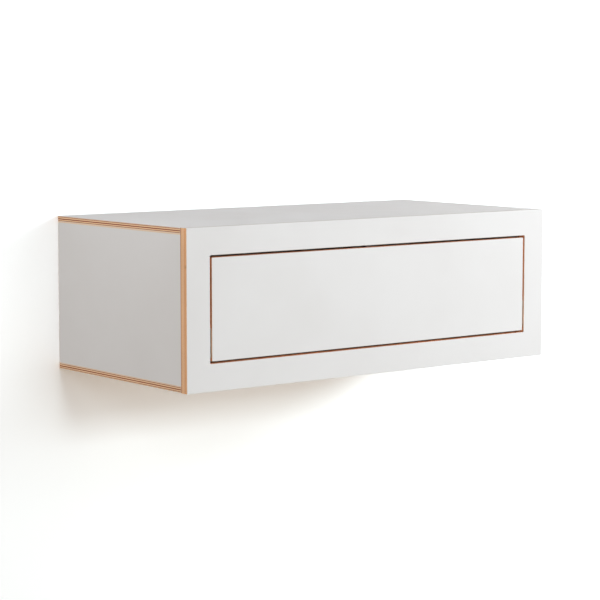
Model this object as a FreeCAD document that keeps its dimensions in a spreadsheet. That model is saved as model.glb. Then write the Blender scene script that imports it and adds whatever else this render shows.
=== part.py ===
import FreeCAD, Part

import math
import os

import Sketcher
from FreeCAD import Placement, Rotation, Vector

# Floating wall desk: a wall-hung plywood case with a drop flap that is the writing surface.
# Frame: +X to the right as seen from the front, +Y into the wall, +Z up. The origin is the middle
# of the row of wall screws, on the wall plane. Every length is in millimetres.

doc = FreeCAD.newDocument("FloatingWallDesk")

# ---------------------------------------------------------------- driving dimensions

SIZES = [
    # case
    ("case_width", 800, "outside width"),
    ("case_height", 270, "outside height"),
    ("case_depth", 390, "wall to front face"),
    ("case_board", 12, "thickness of the top, bottom and side panels"),
    ("front_board", 18, "thickness of the front frame and the flap"),
    ("back_board", 8, "thickness of the back panel"),
    ("front_border", 46, "width of the front frame around its cut-out"),
    ("cutout_corner", 2, "radius in the corners of the cut-out"),
    ("edge_ease", 0.4, "chamfer on the edges of the front frame and the flap"),
    ("groove_depth", 4, "depth of the grooves for the back panel"),
    ("groove_play", 0.1, "air round the back panel in its grooves"),
    # flap
    ("flap_gap", 4, "air round the closed flap"),
    ("flap_corner", 1, "radius on the corners of the flap"),
    # wall hanging
    ("hang_drop", 90, "top of the case to the row of wall screws"),
    ("cleat_board", 12, "thickness of both cleats"),
    ("cleat_play", 1, "air behind the cabinet cleat"),
    ("wall_cleat_length", 700, "length of the wall cleat"),
    ("wall_cleat_rise", 28, "row of wall screws to the upper edge of the wall cleat"),
    ("wall_cleat_fall", 22, "row of wall screws to its lower edge"),
    ("wall_hole", 5.5, "diameter of the wall screw holes"),
    ("wall_sink", 11, "diameter of their countersinks"),
    ("outer_pitch", 600, "distance between the outer wall screws"),
    ("inner_pitch", 200, "distance between the inner wall screws"),
    # dowels
    ("dowel", 6, "diameter of the dowels"),
    ("dowel_in_face", 8, "dowel length in the face of a board"),
    ("dowel_in_edge", 16, "dowel length in the edge of a board"),
    ("dowel_chamfer", 0.8, "chamfer at the dowel ends"),
    ("dowel_play", 0.05, "air round a dowel, and twice that at its ends"),
    ("dowel_inset", 50, "corner of the case to the nearest dowel"),
    # pivot hinges of the flap
    ("leaf_width", 13, "width of a hinge leaf"),
    ("leaf_length", 48, "length of a hinge leaf above the pin"),
    ("leaf_thick", 3, "thickness of a hinge leaf"),
    ("leaf_play", 0.1, "air round a leaf in its mortise, and round the strike plate"),
    ("hinge_washer", 0.8, "thickness of the washer between the leaves"),
    ("hinge_washer_width", 11, "diameter of that washer"),
    ("washer_play", 0.1, "air on each side of a washer"),
    ("hinge_pin", 5, "diameter of the hinge pin"),
    ("pin_tail", 5, "length of the pin beyond each leaf"),
    ("pin_bevel", 0.5, "chamfer at the ends of pins and studs"),
    ("press_play", 0.02, "air round a pin that is pressed in"),
    ("running_play", 0.05, "air round a pin that turns"),
    ("loose_play", 0.3, "air where nothing may touch"),
    ("hinge_screw_first", 16, "hinge pin to the nearer leaf screw"),
    ("hinge_screw_pitch", 22, "distance between the leaf screws"),
    # flap stays
    ("rivet_drop", 32.7, "upper edge of the flap to the rivet"),
    ("stay_spread", 20, "angle from rivet to stud about the hinge axis, flap closed"),
    ("flap_swing", 90, "angle through which the flap opens"),
    ("stay_lift", 12, "inner face of the flap to the rivet"),
    ("stay_inset", 13, "side of the cut-out to the outer face of the arm"),
    ("arm_width", 14, "width of the stay arm"),
    ("arm_thick", 3, "thickness of the stay arm"),
    ("arm_tip", 3, "end of the slot to the centre of the arm's rounded end"),
    ("bracket_plate", 2.5, "thickness of the bracket plates"),
    ("web_setback", 1, "side of the cut-out to the web of the stay bracket"),
    ("web_height", 28, "height of the web, and twice its end radius"),
    ("stay_foot_width", 28, "width of the foot on the back of the front frame"),
    ("stay_foot_height", 56, "height of that foot"),
    ("stay_screw_pitch", 38, "distance between the screws of the foot"),
    ("ear_width", 18, "width of the ear that carries the rivet"),
    ("flap_foot_width", 28, "width of the foot on the flap"),
    ("flap_foot_height", 40, "height of that foot"),
    ("flap_screw_pitch", 24, "distance between its screws"),
    ("foot_screw_inset", 8, "free edge of a foot to its screws"),
    ("stud", 6, "diameter of the stud and of the rivet"),
    ("stud_head_width", 11, "diameter of the stud head"),
    ("stud_head", 4, "height of the stud head"),
    ("rivet_head_width", 10, "diameter of the rivet heads"),
    ("rivet_head", 1.6, "height of the rivet heads"),
    ("nylon_washer", 1, "thickness of the friction washers"),
    ("nylon_washer_width", 13, "diameter of the friction washers"),
    ("spacer_width", 10, "diameter of the spacer between arm and bracket"),
    ("nut_across", 10, "width across the flats of the lock nut"),
    ("nut_height", 6, "height of the lock nut"),
    ("stud_past_nut", 1.5, "stud end beyond the lock nut"),
    # push latch
    ("latch_drop", 12, "upper edge of the flap to the latch axis"),
    ("latch_width", 22, "width of the latch housing"),
    ("latch_height", 16, "height of the latch housing"),
    ("latch_length", 58, "length of the latch housing"),
    ("latch_wall", 6, "rear wall of the latch housing"),
    ("latch_flange", 4, "thickness of the flange on the front frame"),
    ("latch_flange_width", 50, "width of that flange"),
    ("latch_flange_drop", 4, "top panel to the upper edge of the flange"),
    ("latch_round", 1.5, "radius on the long edges of the housing"),
    ("latch_rib", 16, "depth of the rib between housing and flange"),
    ("latch_rib_width", 12, "width of that rib"),
    ("latch_screw_pitch", 34, "distance between the flange screws"),
    ("press_travel", 2, "travel of the flap past closed, before it meets the buffer"),
    ("buffer", 1, "thickness of the buffer on the housing"),
    ("plunger", 12, "diameter of the plunger"),
    ("plunger_travel", 14, "travel of the plunger, flap closed to open"),
    ("plunger_guide", 20, "length of the plunger that stays in the housing"),
    ("latch_play", 0.1, "air round the plunger and in front of the magnet"),
    ("magnet", 9, "diameter of the magnet"),
    ("magnet_thick", 3, "thickness of the magnet"),
    ("magnet_proud", 0.5, "magnet beyond the plunger"),
    ("spring_width", 7.6, "outer diameter of the spring"),
    ("spring_wire", 0.9, "diameter of its wire"),
    ("spring_pitch", 2.4, "distance between its turns"),
    ("spring_seat", 16, "depth of the spring's seat in the plunger"),
    ("strike", 16, "diameter of the strike plate"),
    ("strike_thick", 2, "thickness of the strike plate"),
    # screws
    ("thin_screw", 3, "diameter of the thin screws"),
    ("thin_screw_head", 6, "head diameter of the thin screws"),
    ("thin_screw_length", 14, "length of the thin screws"),
    ("thick_screw", 4, "diameter of the thick screws"),
    ("thick_screw_head", 8, "head diameter of the thick screws"),
    ("thick_screw_length", 14, "length of the thick screws in the brackets"),
    ("cleat_screw_length", 18, "length of the thick screws in the cabinet cleat"),
    ("screw_play", 0.05, "air round a screw"),
    ("hole_spare", 0.5, "pilot hole beyond the tip of a screw"),
]

# ---------------------------------------------------------------- places worked out from them

PLACES = [
    # case
    ("half_width", "Size.case_width / 2"),
    ("case_top", "Size.hang_drop"),
    ("case_bottom", "Size.hang_drop - Size.case_height"),
    ("case_middle", "(case_top + case_bottom) / 2"),
    ("panel_depth", "Size.case_depth - Size.front_board"),
    ("panel_middle", "-panel_depth / 2"),
    ("inner_half", "half_width - Size.case_board"),
    ("inner_top", "case_top - Size.case_board"),
    ("inner_bottom", "case_bottom + Size.case_board"),
    ("inner_height", "inner_top - inner_bottom"),
    ("board_middle", "half_width - Size.case_board / 2"),
    ("back_rear", "-(Size.cleat_board + Size.cleat_play)"),
    ("back_front", "back_rear - Size.back_board"),
    ("back_middle", "back_rear - Size.back_board / 2"),
    ("groove_width", "Size.back_board + 2 * Size.groove_play"),
    ("groove_half", "inner_half + Size.groove_depth"),
    ("back_half", "groove_half - Size.groove_play"),
    ("back_height", "inner_height + 2 * (Size.groove_depth - Size.groove_play)"),
    # front frame and flap
    ("cutout_half", "half_width - Size.front_border"),
    ("cutout_height", "Size.case_height - 2 * Size.front_border"),
    ("flap_half", "cutout_half - Size.flap_gap"),
    ("flap_height", "cutout_height - 2 * Size.flap_gap"),
    ("flap_bottom", "case_bottom + Size.front_border + Size.flap_gap"),
    ("flap_top", "flap_bottom + flap_height"),
    ("hinge_y", "-Size.case_depth + Size.front_board / 2"),
    ("hinge_z", "flap_bottom + Size.front_board / 2"),
    # hinge leaves: their mortises take up what the gap leaves no room for
    ("leaf_recess", "Size.leaf_thick + Size.hinge_washer / 2 + Size.washer_play - Size.flap_gap / 2"),
    ("stile_floor", "cutout_half + leaf_recess"),
    ("edge_floor", "flap_half - leaf_recess"),
    ("gap_middle", "cutout_half - Size.flap_gap / 2"),
    # flap stays: rivet and stud are equally far from the hinge axis, so the arm turns half as far
    ("rivet_back", "Size.front_board / 2 + Size.stay_lift"),
    ("rivet_y", "hinge_y + rivet_back"),
    ("rivet_z", "flap_top - Size.rivet_drop"),
    ("stay_radius", "hypot(rivet_back; rivet_z - hinge_z)"),
    ("rivet_lean", "asin(rivet_back / stay_radius)"),
    ("stud_y", "hinge_y + stay_radius * sin(rivet_lean + Size.stay_spread * 1 deg)"),
    ("stud_z", "hinge_z + stay_radius * cos(rivet_lean + Size.stay_spread * 1 deg)"),
    ("arm_lean", "-(rivet_lean + Size.stay_spread / 2 * 1 deg)"),
    ("closed_reach", "2 * stay_radius * sin(Size.stay_spread / 2 * 1 deg)"),
    ("open_reach", "2 * stay_radius * sin((Size.stay_spread + Size.flap_swing) / 2 * 1 deg)"),
    ("slot_radius", "Size.stud / 2 + Size.loose_play"),
    ("arm_outer", "cutout_half - Size.stay_inset"),
    ("arm_inner", "arm_outer - Size.arm_thick"),
    ("web_inner", "cutout_half + Size.web_setback"),
    ("web_outer", "web_inner + Size.bracket_plate"),
    ("ear_inner", "arm_outer + Size.nylon_washer / 2 + 2 * Size.washer_play"),
    ("ear_outer", "ear_inner + Size.bracket_plate"),
    ("washer_inner", "arm_inner - Size.washer_play - Size.nylon_washer"),
    ("washer_outer", "arm_outer + Size.washer_play + Size.nylon_washer"),
    ("foot_back", "-panel_depth + Size.bracket_plate"),
    # push latch
    ("latch_z", "flap_top - Size.latch_drop"),
    ("latch_front", "-panel_depth + Size.press_travel + Size.buffer"),
    ("latch_rear", "latch_front + Size.latch_length"),
    ("bore_floor", "latch_rear - Size.latch_wall"),
    ("flange_top", "inner_top - Size.latch_flange_drop"),
    ("flange_bottom", "case_top - Size.front_border + Size.press_travel"),
    ("flange_middle", "(flange_top + flange_bottom) / 2"),
    ("magnet_front", "-panel_depth + Size.latch_play"),
    ("plunger_front", "magnet_front + Size.magnet_proud"),
    ("plunger_length", "Size.plunger_travel + Size.plunger_guide"),
    ("plunger_rear", "plunger_front + plunger_length"),
    ("magnet_rear", "magnet_front + Size.magnet_thick"),
    # wall hanging: both cleats are cut at 45 degrees on one plane, z = hook - y
    ("hook", "Size.wall_cleat_rise - Size.cleat_board"),
    ("cleat_middle", "-Size.cleat_play - Size.cleat_board / 2"),
    ("cleat_screw_z", "(inner_top + hook - back_rear) / 2"),
]


def make_sheet(name, rows):
    """A spreadsheet with a label, a value and, where given, a note in each row."""
    sheet = doc.addObject("Spreadsheet::Sheet", name)
    for line, (alias, value, *note) in enumerate(rows, start=1):
        sheet.set(f"A{line}", alias)
        sheet.set(f"B{line}", str(value))
        sheet.setAlias(f"B{line}", alias)
        for text in note:
            sheet.set(f"C{line}", text)
    return sheet


size = make_sheet("Size", SIZES)
doc.recompute()
at = make_sheet("At", [(alias, f"={formula}") for alias, formula in PLACES])
doc.recompute()

TINY = 1e-6
ACROSS = Vector(1, 0, 0)
INWARD = Vector(0, 1, 0)
UP = Vector(0, 0, 1)
OUTWARD = {"right": 1, "left": -1}

# ---------------------------------------------------------------- sketch and feature helpers


def value_of(text):
    """The number that an expression on the two sheets gives."""
    result = at.evalExpression(text)
    return float(getattr(result, "Value", result))


def tie(sketch, kind, *where):
    """Adds a constraint whose last argument is an expression."""
    *points, text = where
    number = sketch.addConstraint(Sketcher.Constraint(kind, *points, value_of(text)))
    sketch.setExpression(f"Constraints[{number}]", text)


def pin_point(sketch, curve, point, spot):
    """Ties one point of a curve to a pair of expressions."""
    x, y = spot
    tie(sketch, "DistanceX", -1, 1, curve, point, x)
    tie(sketch, "DistanceY", -1, 1, curve, point, y)


def to_vector(spot):
    return Vector(value_of(spot[0]), value_of(spot[1]), 0)


def new_sketch(body, plane, offset="0"):
    """A sketch on one of the body's own planes, moved along the plane's normal."""
    sketch = body.newObject("Sketcher::SketchObject", "Sketch")
    support = next(item for item in body.Origin.OriginFeatures if item.Role == f"{plane}_Plane")
    sketch.AttachmentSupport = [(support, "")]
    sketch.MapMode = "FlatFace"
    sketch.setExpression("AttachmentOffset.Base.z", offset)
    return sketch


def draw_polygon(sketch, spots):
    corners = [to_vector(spot) for spot in spots]
    first = sketch.GeometryCount
    for start, end in zip(corners, corners[1:] + corners[:1]):
        sketch.addGeometry(Part.LineSegment(start, end), False)
    for index in range(len(spots)):
        after = first + (index + 1) % len(spots)
        sketch.addConstraint(Sketcher.Constraint("Coincident", first + index, 2, after, 1))
    for index, spot in enumerate(spots):
        pin_point(sketch, first + index, 1, spot)


def draw_rectangle(sketch, left, right, low, high):
    draw_polygon(sketch, [(left, low), (right, low), (right, high), (left, high)])


def draw_circle(sketch, spot, diameter):
    radius = f"({diameter}) / 2"
    circle = sketch.addGeometry(Part.Circle(to_vector(spot), UP, value_of(radius)), False)
    pin_point(sketch, circle, 3, spot)
    tie(sketch, "Radius", circle, radius)


def draw_slot(sketch, start, end, radius):
    """Two round ends about start and end, joined by tangent lines."""
    head, tail, wide = to_vector(start), to_vector(end), value_of(radius)
    lean = math.atan2(tail.y - head.y, tail.x - head.x)
    side = Vector(-math.sin(lean), math.cos(lean), 0) * wide
    quarter = math.pi / 2
    first = sketch.GeometryCount
    around_head = Part.Circle(head, UP, wide)
    around_tail = Part.Circle(tail, UP, wide)
    sketch.addGeometry(Part.ArcOfCircle(around_head, lean + quarter, lean + 3 * quarter), False)
    sketch.addGeometry(Part.LineSegment(head - side, tail - side), False)
    sketch.addGeometry(Part.ArcOfCircle(around_tail, lean - quarter, lean + quarter), False)
    sketch.addGeometry(Part.LineSegment(tail + side, head + side), False)
    for index in range(4):
        after = first + (index + 1) % 4
        sketch.addConstraint(Sketcher.Constraint("Tangent", first + index, 2, after, 1))
    pin_point(sketch, first, 3, start)
    pin_point(sketch, first + 2, 3, end)
    sketch.addConstraint(Sketcher.Constraint("Equal", first, first + 2))
    tie(sketch, "Radius", first, radius)


def add_feature(body, kind, sketch, length, turned_round):
    """A pad or a pocket of a sketch, checked for really adding or removing material."""
    before = body.Shape.Volume if body.Tip else 0
    feature = body.newObject(f"PartDesign::{kind}", kind)
    feature.Profile = sketch
    feature.Reversed = turned_round
    feature.setExpression("Length", length)
    doc.recompute()
    gained = body.Shape.Volume - before
    if (gained > 0) != (kind == "Pad"):
        raise ValueError(f"{body.Label}: the {kind} changed the volume by {gained}")
    return feature


def pad(body, sketch, length, against=False):
    """Adds material along the sketch's normal, or against it."""
    add_feature(body, "Pad", sketch, length, against)


def pocket(body, sketch, length, along=False):
    """Cuts against the sketch's normal, or along it."""
    add_feature(body, "Pocket", sketch, length, along)


def turn(body, plane, profile, axis="H_Axis"):
    """A body of revolution of a closed outline about an axis of its sketch."""
    sketch = new_sketch(body, plane)
    draw_polygon(sketch, profile)
    feature = body.newObject("PartDesign::Revolution", "Revolution")
    feature.Profile = sketch
    feature.ReferenceAxis = (sketch, [axis])
    feature.Angle = 360
    doc.recompute()


def dress_edges(body, kind, chosen, setting, length):
    """Fillets or chamfers the edges of the body for which chosen(edge) is true."""
    base = body.Tip
    names = [f"Edge{i}" for i, edge in enumerate(base.Shape.Edges, start=1) if chosen(edge)]
    feature = body.newObject(f"PartDesign::{kind}", kind)
    feature.Base = (base, names)
    feature.setExpression(setting, length)
    doc.recompute()


def runs_along(edge, axis):
    """True for a straight edge parallel to a unit vector."""
    if not isinstance(edge.Curve, Part.Line):
        return False
    return abs(edge.tangentAt(edge.FirstParameter).dot(axis)) > 1 - TINY


def bore_at(body, plane, level, spots, diameter, length, along=False):
    """Round holes of one size, drilled from one level into the body."""
    sketch = new_sketch(body, plane, level)
    for spot in spots:
        draw_circle(sketch, spot, diameter)
    pocket(body, sketch, length, along)


def sink_holes(body, axis, level, hole, depth):
    """Countersinks the round holes of one diameter at one level along an axis."""
    radius = value_of(hole) / 2

    def is_rim(edge):
        if not isinstance(edge.Curve, Part.Circle) or abs(edge.Curve.Radius - radius) > TINY:
            return False
        return abs(edge.Curve.Center.dot(axis) - value_of(level)) < TINY

    dress_edges(body, "Chamfer", is_rim, "Size", depth)


# ---------------------------------------------------------------- pieces and nodes

nodes = []


def new_body(label, x="0", y="0", z="0"):
    """A body at a place given by three expressions; it isn't a node yet."""
    body = doc.addObject("PartDesign::Body", label)
    body.Label = label
    for axis, text in zip("xyz", (x, y, z)):
        body.setExpression(f"Placement.Base.{axis}", text)
    return body


def new_piece(label, x="0", y="0", z="0"):
    """A body that is a piece of the desk, with a node of its own."""
    body = new_body(label, x, y, z)
    nodes.append(body)
    return body


def mirror_piece(source, label, normal=ACROSS, height="0"):
    """The opposite hand of a piece, across the middle plane or a level plane."""
    twin = doc.addObject("Part::Mirroring", label)
    twin.Label = label
    twin.Source = source
    twin.Normal = normal
    twin.setExpression("Base.z", height)
    nodes.append(twin)
    return twin


def group_copies(label, master, places):
    """One node of separate copies of a master; a place is (x, y, z, direction of its tip)."""
    copies = []
    for index, (x, y, z, direction) in enumerate(places, start=1):
        copy = doc.addObject("App::Link", f"{label}_{index}")
        copy.LinkedObject = master
        copy.Placement = Placement(Vector(), Rotation(Vector(0, 0, -1), Vector(*direction)))
        for axis, text in zip("xyz", (x, y, z)):
            copy.setExpression(f"Placement.Base.{axis}", text)
        copies.append(copy)
    group = doc.addObject("Part::Compound", label)
    group.Label = label
    group.Links = copies
    nodes.append(group)
    return group


# ---------------------------------------------------------------- rows of dowels and screws

TIP_SLOPE = 3
SOCKET_SHARE = 0.5
WIDE_ROW = [-1, -0.5, 0, 0.5, 1]
DEEP_ROW = [-1, 0, 1]
PAIR = [-1, 1]

row_reach = "(At.half_width - Size.dowel_inset)"
deep_reach = "(At.panel_depth / 2 - Size.dowel_inset)"
tall_reach = "(At.inner_height / 2 - Size.dowel_inset)"
face_hole = "Size.dowel_in_face + 2 * Size.dowel_play"
edge_hole = "Size.dowel_in_edge + 2 * Size.dowel_play"
dowel_bore = "Size.dowel + 2 * Size.dowel_play"
row_x = [f"{share} * {row_reach}" for share in WIDE_ROW]
deep_y = [f"{share} * {deep_reach}" for share in DEEP_ROW]
tall_z = [f"{share} * {tall_reach}" for share in PAIR]
cleat_dowel_z = ["At.inner_top - Size.dowel * 2", "At.inner_top - Size.dowel * 6"]
foot_screw_x = "At.web_inner + Size.stay_foot_width - Size.foot_screw_inset"
stay_screw_z = [f"At.stud_z + {share} * Size.stay_screw_pitch / 2" for share in PAIR]
flap_screw_x = "At.ear_outer - Size.flap_foot_width + Size.foot_screw_inset"
flap_screw_z = [f"At.rivet_z + {share} * Size.flap_screw_pitch / 2" for share in PAIR]
first_leaf_screw = "At.hinge_z + Size.hinge_screw_first"
leaf_screw_z = [first_leaf_screw, f"{first_leaf_screw} + Size.hinge_screw_pitch"]
latch_screw_x = [f"{share} * Size.latch_screw_pitch / 2" for share in PAIR]
thin_bore = "Size.thin_screw + 2 * Size.screw_play"
thin_sink = "(Size.thin_screw_head - Size.thin_screw) / 2"
thick_bore = "Size.thick_screw + 2 * Size.screw_play"
thick_sink = "(Size.thick_screw_head - Size.thick_screw) / 2"
bracket_pilot = "Size.thick_screw_length - Size.bracket_plate + Size.hole_spare"


def mirrored(spots):
    """The spots, and the same on the other side of the middle plane."""
    return [(f"{side} * ({x})", y) for side in (1, -1) for x, y in spots]


def make_top_and_bottom():
    panel = new_piece("top_panel", "0", "At.panel_middle", "At.inner_top")
    outline = new_sketch(panel, "XY")
    draw_rectangle(outline, "-At.half_width", "At.half_width", "At.panel_middle", "-At.panel_middle")
    pad(panel, outline, "Size.case_board")
    groove = new_sketch(panel, "XY")
    middle = "At.back_middle - At.panel_middle"
    low, high = f"{middle} - At.groove_width / 2", f"{middle} + At.groove_width / 2"
    draw_rectangle(groove, "-At.groove_half", "At.groove_half", low, high)
    pocket(panel, groove, "Size.groove_depth", along=True)
    spots = mirrored([("At.board_middle", y) for y in deep_y])
    bore_at(panel, "XY", "0", spots, dowel_bore, face_hole, along=True)
    row = [(x, "Size.case_board / 2") for x in row_x]
    bore_at(panel, "XZ", "-At.panel_middle", row, dowel_bore, edge_hole)
    mirror_piece(panel, "bottom_panel", UP, "At.case_middle")


def make_sides():
    panel = new_piece("right_side_panel", "At.inner_half", "At.panel_middle", "At.case_middle")
    half_tall = "At.inner_height / 2"
    outline = new_sketch(panel, "YZ")
    draw_rectangle(outline, "At.panel_middle", "-At.panel_middle", f"-{half_tall}", half_tall)
    pad(panel, outline, "Size.case_board")
    groove = new_sketch(panel, "YZ")
    middle = "At.back_middle - At.panel_middle"
    low, high = f"{middle} - At.groove_width / 2", f"{middle} + At.groove_width / 2"
    draw_rectangle(groove, low, high, f"-{half_tall}", half_tall)
    pocket(panel, groove, "Size.groove_depth", along=True)
    ends = [("Size.case_board / 2", y) for y in deep_y]
    bore_at(panel, "XY", half_tall, ends, dowel_bore, edge_hole)
    bore_at(panel, "XY", f"-{half_tall}", ends, dowel_bore, edge_hole, along=True)
    front = [("Size.case_board / 2", z) for z in tall_z]
    bore_at(panel, "XZ", "-At.panel_middle", front, dowel_bore, edge_hole)
    cleat = [("At.cleat_middle - At.panel_middle", f"{z} - At.case_middle") for z in cleat_dowel_z]
    bore_at(panel, "YZ", "0", cleat, dowel_bore, face_hole, along=True)
    mirror_piece(panel, "left_side_panel")


def make_back():
    panel = new_piece("back_panel", "0", "At.back_front", "At.case_middle")
    outline = new_sketch(panel, "XZ")
    half_tall = "At.back_height / 2"
    draw_rectangle(outline, "-At.back_half", "At.back_half", f"-{half_tall}", half_tall)
    pad(panel, outline, "Size.back_board", against=True)
    spots = [(x, "At.cleat_screw_z - At.case_middle") for x in row_x]
    bore_at(panel, "XZ", "0", spots, thick_bore, "Size.back_board")
    sink_holes(panel, INWARD, "0", thick_bore, thick_sink)


def make_front_frame():
    frame = new_piece("front_frame", "0", "-At.panel_depth", "At.case_middle")
    outline = new_sketch(frame, "XZ")
    half_tall = "Size.case_height / 2"
    draw_rectangle(outline, "-At.half_width", "At.half_width", f"-{half_tall}", half_tall)
    pad(frame, outline, "Size.front_board")
    opening = new_sketch(frame, "XZ")
    half_open = "At.cutout_height / 2"
    draw_rectangle(opening, "-At.cutout_half", "At.cutout_half", f"-{half_open}", half_open)
    pocket(frame, opening, "Size.front_board", along=True)
    inside = value_of("At.cutout_half") + TINY

    def is_cutout_corner(edge):
        return runs_along(edge, INWARD) and abs(edge.CenterOfMass.x) < inside

    dress_edges(frame, "Fillet", is_cutout_corner, "Radius", "Size.cutout_corner")
    front = -value_of("Size.front_board")
    dress_edges(
        frame, "Chamfer", lambda edge: abs(edge.BoundBox.YMax - front) < TINY, "Size", "Size.edge_ease"
    )
    ends = "(Size.case_height - Size.case_board) / 2"
    spots = [(x, f"{side} * {ends}") for side in PAIR for x in row_x]
    spots += mirrored([("At.board_middle", z) for z in tall_z])
    bore_at(frame, "XZ", "0", spots, dowel_bore, face_hole, along=True)
    feet = mirrored([(foot_screw_x, f"{z} - At.case_middle") for z in stay_screw_z])
    bore_at(frame, "XZ", "0", feet, thick_bore, bracket_pilot, along=True)
    flange = [(x, "At.flange_middle - At.case_middle") for x in latch_screw_x]
    depth = "Size.thick_screw_length - Size.latch_flange + Size.hole_spare"
    bore_at(frame, "XZ", "0", flange, thick_bore, depth, along=True)
    cut_stile_mortises(frame)


def cut_stile_mortises(frame):
    """Mortises for the hinge leaves, open to the back, with the pin and screw holes in their floors."""
    axis_y = "At.hinge_y + At.panel_depth"
    axis_z = "At.hinge_z - At.case_middle"
    radius = "Size.leaf_width / 2 + Size.leaf_play"
    top = f"{axis_z} + Size.leaf_length - Size.leaf_width / 2"
    for side in OUTWARD.values():
        wall = f"{side} * At.cutout_half"
        floor = f"{side} * At.stile_floor"
        slot = new_sketch(frame, "YZ", wall)
        draw_slot(slot, (axis_y, axis_z), (axis_y, top), radius)
        pocket(frame, slot, "At.leaf_recess", along=side > 0)
        way_in = new_sketch(frame, "YZ", wall)
        draw_rectangle(way_in, axis_y, "0", f"{axis_z} - {radius}", f"{top} + {radius}")
        pocket(frame, way_in, "At.leaf_recess", along=side > 0)
        tail = "Size.hinge_pin + 2 * Size.loose_play"
        deep = "Size.pin_tail + Size.hole_spare"
        bore_at(frame, "YZ", floor, [(axis_y, axis_z)], tail, deep, along=side > 0)
        screws = [(axis_y, f"{z} - At.case_middle") for z in leaf_screw_z]
        deep = "Size.thin_screw_length - Size.leaf_thick + Size.hole_spare"
        bore_at(frame, "YZ", floor, screws, thin_bore, deep, along=side > 0)


def make_flap():
    flap = new_piece("flap", "0", "At.hinge_y", "At.hinge_z")
    low = "-Size.front_board / 2"
    high = "At.flap_height - Size.front_board / 2"
    inner_face = "-Size.front_board / 2"
    outline = new_sketch(flap, "XZ", inner_face)
    draw_rectangle(outline, "-At.flap_half", "At.flap_half", low, high)
    pad(flap, outline, "Size.front_board")
    dress_edges(
        flap, "Fillet", lambda edge: runs_along(edge, INWARD), "Radius", "Size.flap_corner"
    )
    dress_edges(
        flap, "Chamfer", lambda edge: edge.BoundBox.YLength < TINY, "Size", "Size.edge_ease"
    )
    radius = "Size.leaf_width / 2 + Size.leaf_play"
    top = "Size.leaf_length - Size.leaf_width / 2"
    for side in OUTWARD.values():
        edge_x = f"{side} * At.flap_half"
        floor = f"{side} * At.edge_floor"
        slot = new_sketch(flap, "YZ", edge_x)
        draw_slot(slot, ("0", "0"), ("0", top), radius)
        pocket(flap, slot, "At.leaf_recess", along=side < 0)
        tail = "Size.hinge_pin + 2 * Size.loose_play"
        deep = "Size.pin_tail + Size.hole_spare"
        bore_at(flap, "YZ", floor, [("0", "0")], tail, deep, along=side < 0)
        screws = [("0", f"{z} - At.hinge_z") for z in leaf_screw_z]
        deep = "Size.thin_screw_length - Size.leaf_thick + Size.hole_spare"
        bore_at(flap, "YZ", floor, screws, thin_bore, deep, along=side < 0)
    feet = mirrored([(flap_screw_x, f"{z} - At.hinge_z") for z in flap_screw_z])
    bore_at(flap, "XZ", inner_face, feet, thick_bore, bracket_pilot, along=True)
    strike = [("0", "At.latch_z - At.hinge_z")]
    seat = "Size.strike + 2 * Size.leaf_play"
    bore_at(flap, "XZ", inner_face, strike, seat, "Size.strike_thick", along=True)
    floor = "Size.strike_thick - Size.front_board / 2"
    deep = "Size.thin_screw_length - Size.strike_thick + Size.hole_spare"
    bore_at(flap, "XZ", floor, strike, thin_bore, deep, along=True)


# ---------------------------------------------------------------- cleats, dowels and screws


def make_cleats():
    cleat = new_piece("cabinet_cleat")
    section = new_sketch(cleat, "YZ", "-At.inner_half")
    rear = "-Size.cleat_play"
    slope = [(rear, f"At.hook - {rear}"), ("At.back_rear", "At.hook - At.back_rear")]
    draw_polygon(section, slope + [("At.back_rear", "At.inner_top"), (rear, "At.inner_top")])
    pad(cleat, section, "2 * At.inner_half")
    screws = [(x, "At.cleat_screw_z") for x in row_x]
    deep = "Size.cleat_screw_length - Size.back_board + Size.hole_spare"
    bore_at(cleat, "XZ", "-At.back_rear", screws, thick_bore, deep)
    dowels = [("At.cleat_middle", z) for z in cleat_dowel_z]
    for side in OUTWARD.values():
        bore_at(cleat, "YZ", f"{side} * At.inner_half", dowels, dowel_bore, edge_hole, along=side < 0)

    rail = new_piece("wall_cleat")
    section = new_sketch(rail, "YZ", "-Size.wall_cleat_length / 2")
    front = "-Size.cleat_board"
    slope = [(front, "Size.wall_cleat_rise"), ("0", "At.hook")]
    foot = [("0", "-Size.wall_cleat_fall"), (front, "-Size.wall_cleat_fall")]
    draw_polygon(section, slope + foot)
    pad(rail, section, "Size.wall_cleat_length")
    pitches = ("Size.outer_pitch", "Size.inner_pitch")
    holes = [(f"{side} * {pitch} / 2", "0") for pitch in pitches for side in PAIR]
    bore_at(rail, "XZ", "Size.cleat_board", holes, "Size.wall_hole", "Size.cleat_board")
    sink = "(Size.wall_sink - Size.wall_hole) / 2"
    sink_holes(rail, INWARD, front, "Size.wall_hole", sink)


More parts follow.
